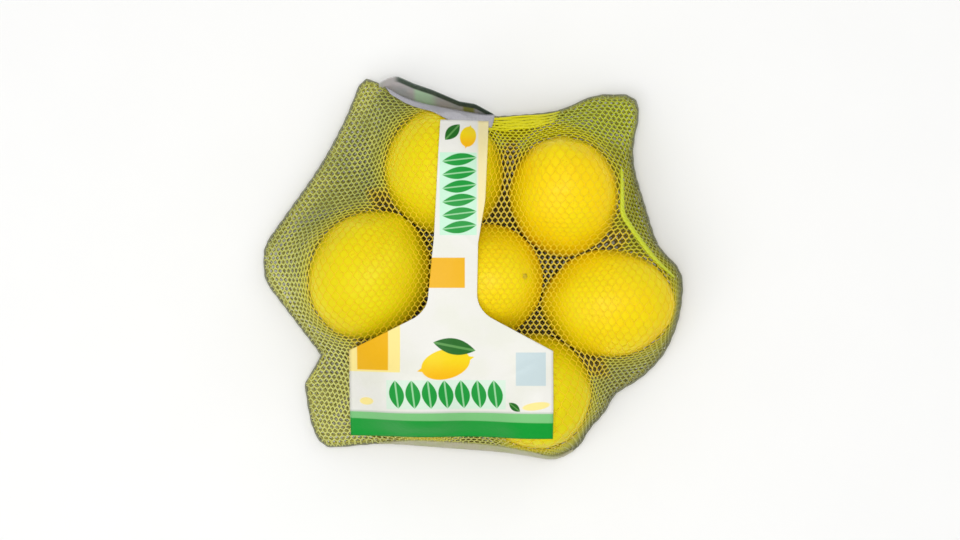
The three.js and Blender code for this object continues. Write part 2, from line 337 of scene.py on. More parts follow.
bag_tree = solid_tree("net_bag")
front = Surface(bag_tree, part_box("net_bag"), -1)
back = Surface(bag_tree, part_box("net_bag"), 1)
cover = Surface(solid_tree("front_label"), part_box("front_label"), 1)
print("front heights up to", round(float(front.heights.max()), 1), "mm")

# %% [markdown]
# The bag's outline in plan can be seen whole from the middle, so one radius for each direction
# describes it. Each radius is found by halving: is there still bag above this point?

# %% The outline
DIRECTIONS = 720
HALVINGS = 14
REACH = 130.0


def outline_radius(turn):
    inside = 0.0
    outside = REACH
    for _ in range(HALVINGS):
        middle = (inside + outside) / 2
        height = height_over(bag_tree, middle * math.cos(turn), middle * math.sin(turn), -1)
        if math.isnan(height):
            outside = middle
        else:
            inside = middle
    return inside


TURNS = np.linspace(0, 2 * math.pi, DIRECTIONS, endpoint=False)
RADII = np.array([outline_radius(turn) for turn in TURNS])


def share_out(x, y):
    """How far out a point lies, from 0 in the middle to 1 on the outline."""
    radius = np.interp(np.arctan2(y, x), TURNS, RADII, period=2 * math.pi)
    return np.hypot(x, y) / radius


print("outline from", round(RADII.min()), "to", round(RADII.max()), "mm from the middle")

# %% [markdown]
# ## Meshes from arrays
#
# Nearly every piece here is worked out as an array of points and an array of faces. One helper
# makes the object, gives it its finish, smooths its shading, and lets it ride on the bag's one
# body. Two more give the forms that come back most: a tube along a line, and a thin sheet. The
# last one joins many small meshes into one.

# %% Making pieces


def make_piece(name, points, faces, finish, slot, replaced, marks=(), flat=0):
    """points are in millimetres. marks are named values, each for all points or one by one. The
    last flat faces keep their own shading, which leaves a crisp rim."""
    mesh = bpy.data.meshes.new(name)
    mesh.from_pydata((np.asarray(points) * MM).tolist(), [], faces)
    smooth = np.arange(len(faces)) < len(faces) - flat
    mesh.polygons.foreach_set("use_smooth", smooth)
    for key, values in dict(marks).items():
        layer = mesh.attributes.new(key, "FLOAT", "POINT")
        layer.data.foreach_set("value", np.full(len(points), values, np.float32))
    mesh.materials.append(finish)
    mesh.update()
    piece = bpy.data.objects.new(name, mesh)
    bpy.context.scene.collection.objects.link(piece)
    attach(piece, "root")
    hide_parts(replaced)
    print(name, "has", len(mesh.polygons), "faces")


def tube(spine, normals, radii, sides, flat=1.0, closed=False):
    """A tube along a spine, flattened along the normals. A closed one joins its own start."""
    along = np.roll(spine, -1, 0) - np.roll(spine, 1, 0)
    if not closed:
        along[0] = spine[1] - spine[0]
        along[-1] = spine[-1] - spine[-2]
    across = unit(np.cross(unit(along), normals))
    up = np.cross(across, unit(along))
    turns = 2 * math.pi * np.arange(sides) / sides
    rings = spine[:, None] + radii[:, None, None] * (
        np.cos(turns)[None, :, None] * across[:, None]
        + flat * np.sin(turns)[None, :, None] * up[:, None]
    )
    count = len(spine)
    ring = np.arange(count if closed else count - 1)[:, None] * sides
    after = (ring + sides) % (count * sides)
    i = np.arange(sides)[None, :]
    j = (i + 1) % sides
    faces = np.stack([ring + i, ring + j, after + j, after + i], -1).reshape(-1, 4)
    return rings.reshape(-1, 3).tolist(), faces.tolist()


def sheet(grid, thickness):
    """A thin closed sheet over a grid of points, rows first. Its rim faces come last."""
    normals = unit(np.cross(np.gradient(grid, axis=1), np.gradient(grid, axis=0)))
    upper = (grid + normals * thickness / 2).reshape(-1, 3)
    lower = (grid - normals * thickness / 2).reshape(-1, 3)
    rows, columns = grid.shape[:2]
    n = np.arange(rows * columns).reshape(rows, columns)
    top = np.stack([n[:-1, :-1], n[:-1, 1:], n[1:, 1:], n[1:, :-1]], -1).reshape(-1, 4)
    below = n.size
    rim = np.concatenate([n[0, :-1], n[:-1, -1], n[-1, :0:-1], n[:0:-1, 0]])
    after = np.roll(rim, -1)
    side = np.stack([rim + below, after + below, after, rim], -1)
    faces = np.concatenate([top, top[:, ::-1] + below, side])
    return np.concatenate([upper, lower]).tolist(), faces.tolist(), len(side)


def joined(parts):
    """The points and the faces of several meshes, numbered as those of one."""
    points = []
    faces = []
    for more, around in parts:
        count = len(points)
        faces += [[count + corner for corner in face] for face in around]
        points += more
    return points, faces


print("helpers for pieces, tubes and sheets are ready")

# %% [markdown]
# ## The lemons
#
# A lemon could be cut from a ball with a lattice, or sculpted. Here a formula does it: the skin's
# distance from the middle, for each angle from the axis. An oval gives the body, a narrow swell
# at one end the nipple, a broad low one at the other the shoulder of the stem. A few long ribs
# run in to the nipple, and slow noise makes every fruit a little lopsided.
#
# Each entry gives the middle in plan, the radius of the waist, half the length, the direction in
# which the nipple points and how far it points up, in degrees, and how much green the rind still
# has. The solid was drawn over the same fruit. Some are a little fuller here, and where two of
# them press on each other both are flattened.

# %% Where each lemon lies
LEMONS = {
    "top_left": (-15.8, 49.1, 30.4, 33.4, 110, -8, 0.8),
    "top_right": (46.3, 36.4, 28.2, 33.9, 98, 40, 0.0),
    "left": (-54.2, -4.0, 30.9, 35.3, 60, 20, 0.8),
    "middle": (5.8, -7.2, 29.5, 31.8, 187, -51, 0.3),
    "right": (69.6, -18.7, 28.0, 34.4, 179, 4, 0.3),
    "low_left": (-26.5, -59.5, 28.0, 31.5, 150, 34, 0.4),
    "low_right": (32.0, -64.4, 28.2, 32.0, -75, 38, 0.9),
}
UNDERSIDE = 1.7  # height of the lowest rind over the table
BODY = 0.965  # length of the oval body, as a share of the whole
NIPPLE = 0.06
NIPPLE_WIDTH = 0.24
STEM = 0.035
STEM_WIDTH = 0.42
RIB = 0.5
RIBS = 7
RIB_REACH = 0.9
LUMP = 0.7
LUMPS = ((1.7, 1.0), (5.0, 0.3))  # how close together they are, and how strong
PRESS_APART = 0.1  # half the space that stays between two pressed lemons
PRESS_SOFT = 0.4  # how softly the flattened part runs out


class Lemon:
    def __init__(self, x, y, waist, half, turn, tilt, green):
        self.waist = waist
        self.half = half
        self.green = green
        up = math.radians(tilt)
        turn = math.radians(turn)
        level = math.cos(up)
        self.axis = Vector((level * math.cos(turn), level * math.sin(turn), math.sin(up)))
        middle = UNDERSIDE + math.hypot(waist * level, half * math.sin(up))
        self.centre = Vector((x, y, middle))
        self.side = Vector((0, 0, 1)).cross(self.axis).normalized()
        self.other = self.axis.cross(self.side)
        self.walls = []

    def meet(self, neighbour):
        """Puts a wall between two lemons, which neither of them passes."""
        between = neighbour.centre - self.centre
        way = between.normalized()
        own = self.skin(way.angle(self.axis), 0)
        theirs = neighbour.skin((-way).angle(neighbour.axis), 0)
        self.walls.append((way, between.length * own / (own + theirs) - PRESS_APART))

    def pressed(self, point):
        """A point that would pass a wall, or nearly so, is drawn back to this side of it."""
        for way, reach in self.walls:
            short = reach - (point - self.centre).dot(way)
            if short < 6 * PRESS_SOFT:
                left = PRESS_SOFT * math.log(1 + math.exp(short / PRESS_SOFT))
                point = point + (short - left) * way
        return point

    def skin(self, angle, turn):
        """Distance of the rind from the middle, in the direction given by two angles."""
        body_half = BODY * self.half
        body = 1 / math.hypot(math.cos(angle) / body_half, math.sin(angle) / self.waist)
        nipple = NIPPLE * self.half * math.exp(-((angle / NIPPLE_WIDTH) ** 2))
        stem = STEM * self.half * math.exp(-(((math.pi - angle) / STEM_WIDTH) ** 2))
        near = math.sin(angle) * math.exp(-((angle / RIB_REACH) ** 2))
        return body + nipple + stem + RIB * math.cos(RIBS * turn) * near

    def point(self, angle, turn):
        way = math.cos(angle) * self.axis + math.sin(angle) * (
            math.cos(turn) * self.side + math.sin(turn) * self.other
        )
        seed = Vector((0, 0, self.centre.x))
        lump = sum(share * noise.noise(way * close + seed) for close, share in LUMPS)
        return self.pressed(self.centre + way * (self.skin(angle, turn) + LUMP * lump))


lemons = {name: Lemon(*facts) for name, facts in LEMONS.items()}
for one, two in itertools.permutations(lemons.values(), 2):
    one.meet(two)
for name, lemon in lemons.items():
    print(name, "is", round(2 * lemon.half), "mm long and", round(2 * lemon.waist), "mm across")

# %% [markdown]
# The rind is waxy and bright yellow. Slow noise moves it between a warm and a greener yellow, and
# the nipple end stays a little greener. Oil glands pit the rind every millimetre or so: a cell
# pattern gives each gland a shallow dent and a slightly deeper colour.

# %% The rind's finish
GLANDS = 0.62  # oil glands for each millimetre
WAXY = {
    "Coat Weight": 0.03,
    "Coat Roughness": 0.35,
    "Specular IOR Level": 0.14,
    "Subsurface Weight": 0.25,
    "Subsurface Radius": (1.0, 0.6, 0.1),
    "Subsurface Scale": 0.004,
}


def rind_finish():
    finish = Finish("lemon_rind", WAXY)
    place = finish.place()
    slow = finish.patches(place, 0.035)
    fine = finish.ease(finish.noise(place, 0.3), 0.3, 0.7)
    warm = finish.mix(slow, (0.97, 0.67, 0.001), (0.93, 0.72, 0.002))
    mottled = finish.mix(fine * 0.35, warm, (0.99, 0.78, 0.004))
    mottled = finish.mix(finish.mark("green"), mottled, (0.78, 0.69, 0.003))
    greener = finish.mix(finish.mark("tip") * 0.4, mottled, (0.72, 0.68, 0.006))
    inputs = {"Vector": place, "Scale": GLANDS, "Randomness": 0.85}
    cells = finish.node("ShaderNodeTexVoronoi", {"feature": "SMOOTH_F1"}, inputs)
    pits = finish.ease(cells, 0.30, 0.05)
    finish.feed("Base Color", finish.mix(pits * 0.35, greener, (0.80, 0.50, 0.001)))
    finish.feed("Roughness", 0.52 - 0.12 * fine)
    finish.bump(1 - pits + 0.4 * fine, 0.16)
    return finish.material


rind = rind_finish()
print("the rind has", len(rind.node_tree.nodes), "nodes")

# %% [markdown]
# The mesh of a lemon is rings of points round its axis, closed by one point at each end. The
# mark `tip` is 1 at the nipple and fades along the fruit, and `green` is the same all over it.

# %% Seven lemons
ROUND = 96
LENGTH = 72
TIP_REACH = 0.45


def lemon_mesh(lemon):
    points = []
    tips = []
    for j in range(LENGTH + 1):
        angle = math.pi * j / LENGTH
        for i in range(ROUND if 0 < j < LENGTH else 1):
            points.append(lemon.point(angle, 2 * math.pi * i / ROUND))
            tips.append(math.exp(-((angle / TIP_REACH) ** 2)))
    ring = [0] + [1 + ROUND * (j - 1) for j in range(1, LENGTH + 1)]
    faces = []
    for i in range(ROUND):
        k = (i + 1) % ROUND
        faces.append((0, ring[1] + i, ring[1] + k))
        faces.append((ring[LENGTH], ring[LENGTH - 1] + k, ring[LENGTH - 1] + i))
        for j in range(1, LENGTH - 1):
            faces.append((ring[j] + i, ring[j + 1] + i, ring[j + 1] + k, ring[j] + k))
    return points, faces, tips


def add_lemons():
    """Adds the lemons, and keeps all their rind together for rays to be dropped on."""
    rinds = []
    for name, lemon in lemons.items():
        points, faces, tips = lemon_mesh(lemon)
        marks = {"tip": tips, "green": lemon.green}
        make_piece(f"lemon_{name}", points, faces, rind, "lemon_rind", "net_bag", marks)
        rinds.append((points, faces))
    points, faces = joined(rinds)
    return BVHTree.FromPolygons([point * MM for point in points], faces)


rind_tree = add_lemons()

# %% [markdown]
# A dry little button is left where each lemon was cut from its stalk: five blunt lobes round a
# raised centre. All but one of them face down or sideways, under the net.

# %% The stem ends
BUTTON = 1.4
BUTTON_LOBES = 5
BUTTON_LOBE = 0.16  # how far they stand out, as a share of the button's radius
BUTTON_RINGS = ((1.0, -0.3), (1.0, 0.35), (0.78, 0.75), (0.5, 0.5), (0.28, 0.7), (0.1, 1.0))
BUTTON_ROUND = 40


def button_mesh(lemon):
    root = lemon.point(math.pi, 0)
    points = []
    for reach, rise in BUTTON_RINGS:
        for i in range(BUTTON_ROUND):
            turn = 2 * math.pi * i / BUTTON_ROUND
            lobe = BUTTON_LOBE * reach * math.cos(BUTTON_LOBES * turn)
            radius = BUTTON * reach * (1 + lobe)
            flat = math.cos(turn) * lemon.side + math.sin(turn) * lemon.other
            points.append(root + radius * flat - rise * lemon.axis)
    points.append(root - lemon.axis)
    last = len(points) - 1
    faces = []
    for i in range(BUTTON_ROUND):
        k = (i + 1) % BUTTON_ROUND
        for j in range(len(BUTTON_RINGS) - 1):
            here = j * BUTTON_ROUND
            there = here + BUTTON_ROUND
            faces.append((here + i, there + i, there + k, here + k))
        inner = last - BUTTON_ROUND
        faces.append((inner + i, last, inner + k))
    return points, faces


def button_finish():
    finish = Finish("stem_end", {})
    spots = finish.patches(finish.place(), 1.2)
    finish.feed("Base Color", finish.mix(spots, (0.62, 0.43, 0.01), (0.76, 0.56, 0.02)))
    finish.feed("Roughness", 0.6 + 0.25 * spots)
    finish.bump(spots, 0.3)
    return finish.material


points, faces = joined(button_mesh(lemon) for lemon in lemons.values())
make_piece("stem_ends", points, faces, button_finish(), "lemon_stem", "net_bag")

# %% [markdown]
# ## The net
#
# The net is one knitted sheet. Its meshes are upright diamonds, drawn from two sets of slanting
# strands that run side by side for a moment at each knot. Laying the diamonds evenly over the
# table would stretch them on the steep sides of the fruit. So each knot is tied to its four
# neighbours as if by springs, and slides over the surface until they balance. In the margins
# the springs are stronger, because the slack net draws together there. The ends of the strands
# stay on the outline, where the front and the back net meet.

# %% How far a point is from the fruit
FRUIT_EDGE = (-2.5, 2.0)  # from here to here, past a lemon's outline, the net turns slack
TWO_CLOSE = (13.0, 7.0)  # how near the second lemon is where the net is hemmed in, and where not
THREE_CLOSE = (26.0, 15.0)


def smoothstep(value, low, high):
    share = np.clip((value - low) / (high - low), 0, 1)
    return share * share * (3 - 2 * share)


def beyond_fruit(x, y):
    """How far a point of the table lies outside each lemon's outline, the nearest first."""
    beyond = []
    for lemon in lemons.values():
        level = math.hypot(lemon.axis.x, lemon.axis.y)
        along = (x - lemon.centre.x) * lemon.axis.x + (y - lemon.centre.y) * lemon.axis.y
        away = np.hypot(x - lemon.centre.x, y - lemon.centre.y)
        lean = np.clip(along / level / np.maximum(away, 1e-9), -1, 1)
        longest = math.hypot(lemon.half * level, lemon.waist * lemon.axis.z)
        radius = 1 / np.sqrt(lean**2 / longest**2 + (1 - lean**2) / lemon.waist**2)
        beyond.append(away - radius)
    return np.sort(beyond, axis=0)


def slackness(x, y):
    """0 over the fruit, and 1 outside it."""
    return smoothstep(beyond_fruit(x, y)[0], *FRUIT_EDGE)


def hemmed_in(x, y):
    """1 in the hollows and clefts that two or three lemons close in, and 0 in the margins."""
    beyond = beyond_fruit(x, y)
    return np.maximum(smoothstep(beyond[1], *TWO_CLOSE), smoothstep(beyond[2], *THREE_CLOSE))


print("hemmed in, in the middle of the bag:", float(hemmed_in(-12.0, 20.0)))

# %% Laying out the knots
MESH_WIDTH = 3.05
MESH_HEIGHT = 4.75
RIM = 0.998  # how far out the last knots may lie


def crossing(inside, outside):
    """Where the way between two points leaves the bag."""
    for _ in range(HALVINGS):
        middle = (inside + outside) / 2
        if share_out(*middle) < RIM:
            inside = middle
        else:
            outside = middle
    return inside


def lay_out(shift):
    """The places of the knots, which of them are fixed, and the strands as rows of knots. shift
    moves all of them to the right, in half diamonds."""
    most = int(REACH / MESH_WIDTH + REACH / MESH_HEIGHT) + 2
    steps = np.arange(-most, most + 1)
    rising, falling = np.meshgrid(steps, steps, indexing="ij")
    across = (rising - falling + shift) * MESH_WIDTH
    plan = np.stack([across, (rising + falling) * MESH_HEIGHT], -1) / 2
    within = share_out(plan[..., 0], plan[..., 1]) < RIM
    number = np.full(within.shape, -1)
    number[within] = np.arange(within.sum())
    places = list(plan[within])
    fixed = [False] * len(places)
    strands = []
    for lean, (spots, known) in enumerate(((plan, number), (plan.swapaxes(0, 1), number.T))):
        for row, numbers in zip(spots, known):
            run = []
            for k in range(1, len(numbers)):
                entering = numbers[k] >= 0 and numbers[k - 1] < 0
                leaving = numbers[k] < 0 and numbers[k - 1] >= 0
                if entering or leaving:
                    inner, outer = (row[k], row[k - 1]) if entering else (row[k - 1], row[k])
                    run.append(len(places))
                    places.append(crossing(inner, outer))
                    fixed.append(True)
                if numbers[k] >= 0:
                    run.append(numbers[k])
                if leaving:
                    strands.append((lean, np.array(run)))
                    run = []
    return np.array(places), np.array(fixed), [strand for strand in strands if len(strand[1]) > 2]


front_net = lay_out(0)
back_net = lay_out(1)  # its knots lie in the middle of the front net's holes
print(len(front_net[0]), "knots and", len(front_net[2]), "strands in the front net")

# %% Letting the knots settle
SETTLING = 160
LONGEST_SLIDE = 0.8
SLACK_PULL = 1.6  # how much more the springs pull where the net is slack


def settled(surface, knots, fixed, strands):
    """Slides the free knots over the surface until their strands pull evenly."""
    first = np.concatenate([run[:-1] for _, run in strands])
    second = np.concatenate([run[1:] for _, run in strands])
    places = knots.copy()
    for _ in range(SETTLING):
        x, y = places.T
        spots = np.column_stack([places, surface.at(x, y)])
        strength = 1 + SLACK_PULL * slackness(x, y) * (1 - hemmed_in(x, y))
        weight = (strength[first] + strength[second])[:, None] / 2
        pull = np.zeros_like(spots)
        total = np.zeros((len(spots), 1))
        for one, other in ((first, second), (second, first)):
            np.add.at(pull, one, weight * spots[other])
            np.add.at(total, one, weight)
        pull = pull / total - spots
        across, along = surface.slopes(x, y)
        push_x = pull[:, 0] + across * pull[:, 2]
        push_y = pull[:, 1] + along * pull[:, 2]
        scale = 1 + across**2 + along**2
        slide_x = ((1 + along**2) * push_x - across * along * push_y) / scale
        slide_y = ((1 + across**2) * push_y - across * along * push_x) / scale
        slide = np.column_stack([slide_x, slide_y]) / 2
        length = np.linalg.norm(slide, axis=1, keepdims=True)
        moved = places + slide * np.minimum(1, LONGEST_SLIDE / np.maximum(length, 1e-9))
        free = ~fixed & (share_out(*moved.T) < RIM)
        places[free] = moved[free]
    return places


front_knots = settled(front, *front_net)
back_knots = settled(back, *back_net)
print("front knots slid up to", round(float(np.abs(front_knots - front_net[0]).max()), 1), "mm")

# %% [markdown]
# Each strand becomes a thin flattened tube. Where the net is stretched over fruit its strands
# are fine, and in the slack margins they are thicker. They lie on the rind wherever it reaches
# up to them, and close to the outline the front and the back net come together. Marks go with
# every point, for the finish to read: `slack` is 1 outside the fruit, `far` is how many
# millimetres it is to the fruit, and near it the finish paints the strands yellower as painted
# light thrown back by the rind. `gap` is 1 in the hollows between the fruit, where the front
# strands get a darker tan as painted shade. `bright` lifts a strand to lime, `rim` greys the
# strands near the outline with painted shade where the net turns under, most of all at the right,
# and `shade` paints shade on the back net, which gets less light.

# %% Strands as tubes
KNOT_HALF = 0.45
KNOT_APART = 0.15
STRAND_TAUT = 0.2
STRAND_SLACK = {1: 0.49, -1: 0.76}  # front and back
STRAND_GAP = {1: 0.42, -1: 0.9}
SLACK_SHADE = 0.42
# The strands near the outline are greyed by painted shade, where the net turns under.
RIM_SHADE_FADE = (5.0, 1.0)  # from here to here, in from the outline, the strands turn grey
RIM_SHADE_LEFT = 0.25  # how grey they get at the left
RIM_SHADE_RIGHT = 0.75
RIM_SHADE_ACROSS = (-20.0, 50.0)  # where the one goes over into the other
SEAM = 3.0  # over this far from the outline the front and the back net close up
SEAM_FINE = 0.75  # radius of the strands at the outline, as a share of what it is further in
FREE_FROM = 8.0  # a strand this far off the rind starts to count as hanging in a hollow
FREE_AT = 16.0
STRAND_FLAT = 0.75
STRAND_SIDES = 5
STRAND_LIFT = 0.12


def strand_plan(places, lean, run):
    """One strand from above: it passes each knot upright, and runs straight between knots."""
    side = 1 if lean else -1
    low = places[run[1:-1]] + (side * KNOT_APART, -KNOT_HALF)
    high = places[run[1:-1]] + (-side * KNOT_APART, KNOT_HALF)
    inner = np.stack([low, high], 1).reshape(-1, 2)
    return np.concatenate([places[run[:1]], inner, places[run[-1:]]])


def inset_at(x, y):
    """How far in from the outline a point lies."""
    return np.hypot(x, y) * (1 / np.maximum(share_out(x, y), 0.01) - 1)


def rim_shade_share(x, inset):
    """How much painted shade greys a strand: most on the outline, more at the right than at the
    left.
    """
    most = RIM_SHADE_LEFT + (RIM_SHADE_RIGHT - RIM_SHADE_LEFT) * smoothstep(x, *RIM_SHADE_ACROSS)
    return most * smoothstep(inset, *RIM_SHADE_FADE)


def net_mesh(surface, places, strands, way):
    """way is 1 for the front net, which lies on the fruit, and -1 for the back net."""
    parts = []
    kept = {"slack": [], "gap": [], "shade": [], "far": [], "rim": []}
    for lean, run in strands:
        plan = strand_plan(places, lean, run)
        x, y = plan.T
        height = surface.at(x, y)
        rind_height = np.array([height_over(rind_tree, *spot, -way) for spot in plan])
        off_rind = np.nan_to_num(way * (height - rind_height), nan=FAR)
        hemmed = hemmed_in(x, y)
        gap = smoothstep(off_rind, FREE_FROM, FREE_AT) * hemmed
        slack = slackness(x, y) * (1 - hemmed)
        shade = (gap + SLACK_SHADE * slack) * (way < 0)
        far = np.maximum(beyond_fruit(x, y)[0], 0)
        touching = np.where(np.isnan(rind_height), height, rind_height + way * STRAND_LIFT)
        height = np.maximum(height, touching) if way > 0 else np.minimum(height, touching)
        inset = inset_at(x, y)
        open_share = smoothstep(inset, 0, SEAM)
        middle = (front.at(x, y) + back.at(x, y)) / 2
        height = middle + (height - middle) * open_share
        radii = STRAND_TAUT * (1 - gap - slack)
        radii = radii + STRAND_SLACK[way] * slack + STRAND_GAP[way] * gap
        radii = radii * (SEAM_FINE + (1 - SEAM_FINE) * open_share)
        normals = surface.normals(x, y)
        spine = np.column_stack([plan, height]) + way * STRAND_LIFT * normals
        parts.append(tube(spine, normals, radii, STRAND_SIDES, STRAND_FLAT))
        for key, values in zip(kept, (slack, gap, shade, far, rim_shade_share(x, inset))):
            kept[key].append(np.repeat(values, STRAND_SIDES))
    return *joined(parts), {key: np.concatenate(values) for key, values in kept.items()}


def net_finish():
    finish = Finish("net_strand", {"Specular IOR Level": 0.3})
    place = finish.place()
    x, y, _ = finish.axes(place)
    fine = finish.noise(place, 0.5)
    slow = finish.patches(place, 0.05)
    # strands that hang in the hollows between the fruit get a darker tan: painted shade
    over_fruit_or_hollow_shade = finish.mix(finish.mark("gap"), (0.94, 0.66, 0.002), (0.68, 0.50, 0.04))
    left = finish.mix(slow, (0.40, 0.44, 0.11), (0.56, 0.58, 0.14))
    left = finish.mix(finish.ease(y, 30, -20) * 0.65, left, (0.70, 0.71, 0.22))
    right = finish.mix(slow, (0.28, 0.31, 0.008), (0.41, 0.43, 0.02))
    right = finish.mix(finish.ease(y, 56, 70), right, (0.52, 0.59, 0.04))
    right = finish.mix(finish.ease(y, -25, -50), right, (0.44, 0.46, 0.11))
    slack = finish.mix(finish.ease(x, -30, 40), left, right)
    # strands within 9 mm of the fruit are painted yellower: painted light thrown back by the rind
    slack = finish.mix(finish.ease(finish.mark("far"), 9, 0) * 0.6, slack, (0.68, 0.62, 0.02))
    colour = finish.mix(finish.mark("slack"), over_fruit_or_hollow_shade, slack)
    colour = finish.mix(fine * 0.15, colour, (0.70, 0.62, 0.05))
    bunched = finish.ease(x, 4, 9) * finish.ease(x + y * 2, 204, 184) * finish.ease(y, 62, 68)
    colour = finish.mix(bunched, colour, (0.72, 0.67, 0.002))
    colour = finish.mix(finish.mark("bright"), colour, (0.58, 0.65, 0.03))
    # painted shade: the strands near the outline turn grey, where the net turns under
    colour = finish.mix(finish.mark("rim"), colour, (0.20, 0.205, 0.13))
    colour = finish.mix(finish.mark("shade"), colour, (0.21, 0.14, 0.01))
    finish.feed("Base Color", colour)
    finish.feed("Roughness", 0.32 + 0.2 * fine)
    finish.bump(finish.noise(place, 4.0), 0.04)
    return finish.material


strand_finish = net_finish()
for name, surface, places, strands, way in (
    ("net_front", front, front_knots, front_net[2], 1),
    ("net_back", back, back_knots, back_net[2], -1),
):
    points, faces, marks = net_mesh(surface, places, strands, way)
    make_piece(name, points, faces, strand_finish, "net", "net_bag", marks)

# %% [markdown]
# Where the front net turns round into the back net, its outermost strands lie together and look
# like a cord, with looser ones just inside it. Closed tubes along the outline are these cords.

# %% The cords round the edge
CORD_SIDES = 8
CORD_WAVE = 0.2
CORDS = ((0.0, 0.6, 40, 97, 1.0), (1.2, 0.45, 57, 83, 0.6), (2.4, 0.4, 71, 103, 0.25))


def outline_point(turn, inset):
    """A point of the outline, or one that lies inset millimetres nearer to the middle."""
    radius = np.interp(turn, TURNS, RADII, period=2 * math.pi) * RIM - inset
    x = radius * np.cos(turn)
    y = radius * np.sin(turn)
    return x, y, (front.at(x, y) + back.at(x, y)) / 2


def add_edge_cords():
    """Each cord has its inset, its radius, how often it waves and how often it swells round the
    bag, and how much painted shade greys it."""
    parts = []
    for inset, radius, waves, swells, _ in CORDS:
        x, y, z = outline_point(TURNS, inset * (1 + CORD_WAVE * np.sin(waves * TURNS)))
        spine = np.column_stack([x, y, z + CORD_WAVE * np.sin(waves * TURNS)])
        normals = np.tile((0.0, 0.0, 1.0), (len(spine), 1))
        radii = radius * (1 + CORD_WAVE * np.sin(swells * TURNS))
        parts.append(tube(spine, normals, radii, CORD_SIDES, closed=True))
    marks = {"slack": 1.0, "rim": np.repeat([cord[-1] for cord in CORDS], len(parts[0][0]))}
    make_piece("net_edge", *joined(parts), strand_finish, "net", "net_bag", marks)


add_edge_cords()

# %% [markdown]
# Between the film hem and the right ear the front net was bunched up before it was welded. The
# bunched strands lie side by side over the top end, and their lime yellow shows at full strength.
# Each is a long tube that waves a little and lies on the net.

# %% The bunched strands at the top
BUNCH_FROM = 86.5  # direction from the middle, in degrees
BUNCH_TO = 61.0
BUNCH_STRANDS = 8
BUNCH_PITCH = 0.95
BUNCH_INSET = 0.9
BUNCH_WAVE = 0.25
BUNCH_LIFT = 0.3
BUNCH_RADIUS = 0.52
BUNCH_STEPS = 90
BUNCH_SIDES = 7
END_BLUNT = 0.3  # the nearer to 0, the blunter the ends of a tube
END_LEAST = 0.05  # their radius at the very end


def rounded_off(way):
    """Falls from 1 in the middle of a tube to 0 at its ends, as way goes from 0 to 1 along it."""
    return np.sin(math.pi * way) ** END_BLUNT


def add_bunch():
    way = np.linspace(0, 1, BUNCH_STEPS)
    turns = np.radians(BUNCH_FROM + (BUNCH_TO - BUNCH_FROM) * way)
    radii = BUNCH_RADIUS * rounded_off(way) + END_LEAST
    parts = []
    for k in range(BUNCH_STRANDS):
        waves = BUNCH_WAVE * np.sin((9 + k) * way + 2.1 * k)
        x, y, _ = outline_point(turns, BUNCH_INSET + BUNCH_PITCH * k + waves)
        normals = front.normals(x, y)
        spine = np.column_stack([x, y, front.at(x, y)]) + BUNCH_LIFT * normals
        parts.append(tube(spine, normals, radii, BUNCH_SIDES))
    make_piece("net_bunch", *joined(parts), strand_finish, "net", "net_bag", {"slack": 1.0})


add_bunch()

# %% [markdown]
# On the right the net was gathered before the bag was closed. A ridge of strands runs down from
# the right ear and out to the right corner. Three cords are wound round one another along it.

# %% The gathered fold
FOLD = ((75.5, 52), (75.5, 40), (75.7, 27), (81.9, 18.2), (88.7, 8.8), (93.9, 2.6), (104.5, -6.5))
FOLD_STEPS = 120
FOLD_STRANDS = 3
FOLD_SIDES = 7
FOLD_RADIUS = 0.75
FOLD_SPREAD = 0.8
FOLD_FLAT = 0.5  # how high the winding is, as a share of its width
FOLD_TWISTS = 9
FOLD_EASE = 6  # steps to either side over which its corners are rounded


def add_fold():
    way = np.linspace(0, 1, FOLD_STEPS)
    corners = np.array(FOLD)
    length = np.insert(np.cumsum(np.linalg.norm(np.diff(corners, axis=0), axis=1)), 0, 0)
    window = np.ones(2 * FOLD_EASE + 1) / (2 * FOLD_EASE + 1)
    straight = [np.interp(way * length[-1], length, places) for places in corners.T]
    x, y = (np.convolve(np.pad(line, FOLD_EASE, "edge"), window, "valid") for line in straight)
    normals = front.normals(x, y)
    spine = np.column_stack([x, y, front.at(x, y)]) + FOLD_RADIUS * normals
    across = unit(np.cross(np.gradient(spine, axis=0), normals))
    ends = rounded_off(way)
    radii = FOLD_RADIUS * ends + END_LEAST
    parts = []
    for k in range(FOLD_STRANDS):
        turn = 2 * math.pi * (FOLD_TWISTS * way + k / FOLD_STRANDS)[:, None]
        aside = np.cos(turn) * across + FOLD_FLAT * np.sin(turn) * normals
        parts.append(tube(spine + FOLD_SPREAD * ends[:, None] * aside, normals, radii, FOLD_SIDES))
    marks = {"slack": 1.0, "bright": 1.0}
    make_piece("net_fold", *joined(parts), strand_finish, "net", "net_bag", marks)


add_fold()

# %% [markdown]
# At the bottom the two nets are welded together. Heat turns the strands into a narrow ribbon,
# and the jaws of the welder leave fine ribs across it. A sheet that follows the outline gives it,
# with the ribs as real relief. It runs out narrow at both ends. The same sheet serves again for
# the film at the top.

# %% The weld at the bottom
WELD = {
    "span": (-118.5, -61.5),  # directions from the middle, in degrees
    "widths": (3.4, 3.4),
    "ends": 22.0,
    "proud": 0.4,
    "lift": 0.9,
    "thickness": 0.9,
}
TAPER = (-25.0, -13.0)  # where a ribbon goes from its first width to its second
END_SHARE = 0.15  # a ribbon's width at its very ends, as a share of the full one
RIBBON_STEP = 0.25  # degrees
RIBBON_ROWS = 8
RIBBON_RIB = 0.16
RIBBON_PITCH = 1.5


def over_net(x, y):
    """The height of the front net, which lies on the rind wherever the rind reaches up to it."""
    height = front.at(x, y)
    rind_height = [height_over(rind_tree, *spot, -1) for spot in zip(x, y)]
    return np.fmax(height, rind_height)


